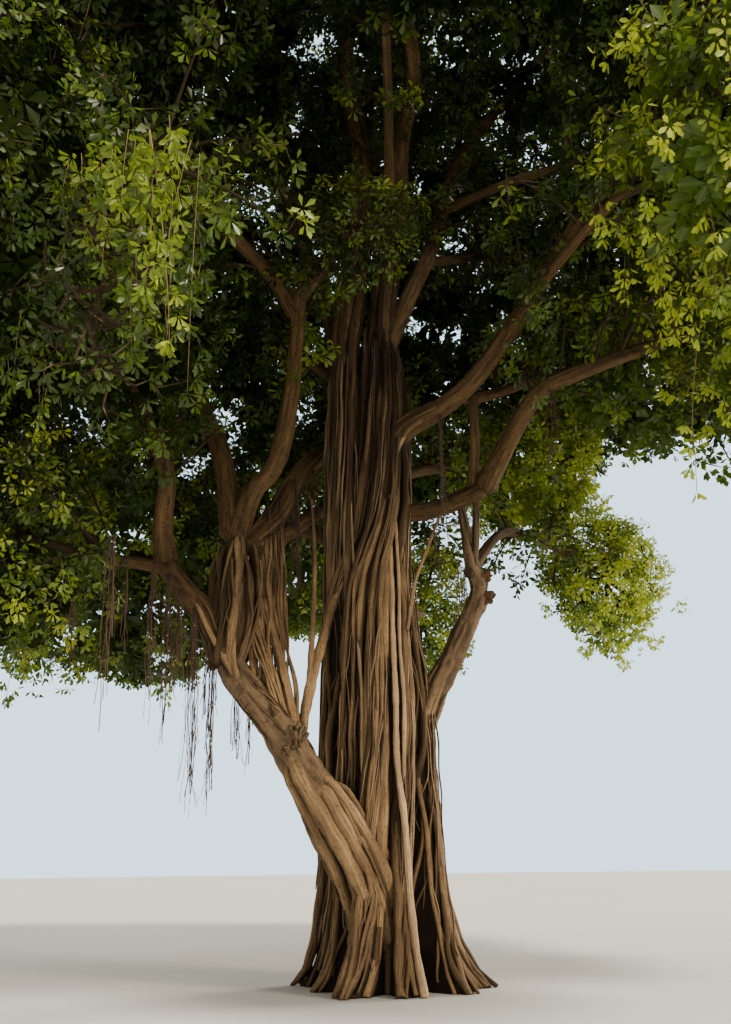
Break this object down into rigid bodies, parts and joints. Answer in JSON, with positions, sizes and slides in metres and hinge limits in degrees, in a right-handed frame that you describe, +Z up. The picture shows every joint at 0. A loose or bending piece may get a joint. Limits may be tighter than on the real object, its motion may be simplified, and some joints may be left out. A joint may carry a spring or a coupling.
{
  "type": "rubber tree",
  "caption": "Large rubber tree with a fluted trunk of fused aerial roots, a leaning second stem, a prop stem, hanging root strands and a broad dense evergreen crown.",
  "frame": {"origin": "in the flat cut under the trunk, at ground level", "axes": "+Z up, -Y towards the front that the picture shows, +X to the right as seen from the front"},
  "size_m": [18.4218, 17.2422, 20.6237],
  "materials": {
    "trunk_bark": "rough fluted bark",
    "bough_bark": "smooth ringed bark",
    "root_bark": "stringy aerial roots",
    "foliage": "glossy leaves"
  },
  "bodies": {
    "root": {"back_bough": "bough_bark", "back_leader": "bough_bark", "back_left_bough": "bough_bark", "back_left_leader": "bough_bark", "back_right_bough": "bough_bark", "back_right_leader": "bough_bark", "cross_bough": "bough_bark", "cross_bough_low": "bough_bark", "front_leader": "bough_bark", "front_left_bough": "bough_bark", "front_right_bough": "bough_bark", "hanging_bough": "bough_bark", "leaves_drooping_right": "foliage", "leaves_hanging": "foliage", "leaves_inner_front": "foliage", "leaves_inner_left": "foliage", "leaves_low_back": "foliage", "leaves_low_back_left": "foliage", "leaves_low_back_middle": "foliage", "leaves_low_back_right": "foliage", "leaves_low_front_left": "foliage", "leaves_low_front_right": "foliage", "leaves_low_left": "foliage", "leaves_low_right": "foliage", "leaves_middle_back": "foliage", "leaves_middle_back_left": "foliage", "leaves_middle_back_right": "foliage", "leaves_middle_front": "foliage", "leaves_middle_front_left": "foliage", "leaves_middle_front_right": "foliage", "leaves_middle_left": "foliage", "leaves_middle_right": "foliage", "leaves_right_back": "foliage", "leaves_top": "foliage", "leaves_upper_back": "foliage", "leaves_upper_front": "foliage", "leaves_upper_left": "foliage", "leaves_upper_right": "foliage", "left_bough": "bough_bark", "left_bough_low": "bough_bark", "left_bough_rise": "bough_bark", "left_fork_bough": "bough_bark", "left_leader": "bough_bark", "left_root_bundle": "root_bark", "left_stem": "bough_bark", "low_right_bough": "bough_bark", "middle_left_bough": "bough_bark", "middle_right_bough": "bough_bark", "middle_right_fork": "bough_bark", "outer_left_leader": "bough_bark", "outer_right_leader": "bough_bark", "right_bough": "bough_bark", "right_bough_rise": "bough_bark", "right_leader": "bough_bark", "right_leader_branch": "bough_bark", "right_stem": "bough_bark", "right_upright": "bough_bark", "root_curtain": "root_bark", "trunk": "trunk_bark", "upper_left_bough": "bough_bark"}
  },
  "joints": []
}
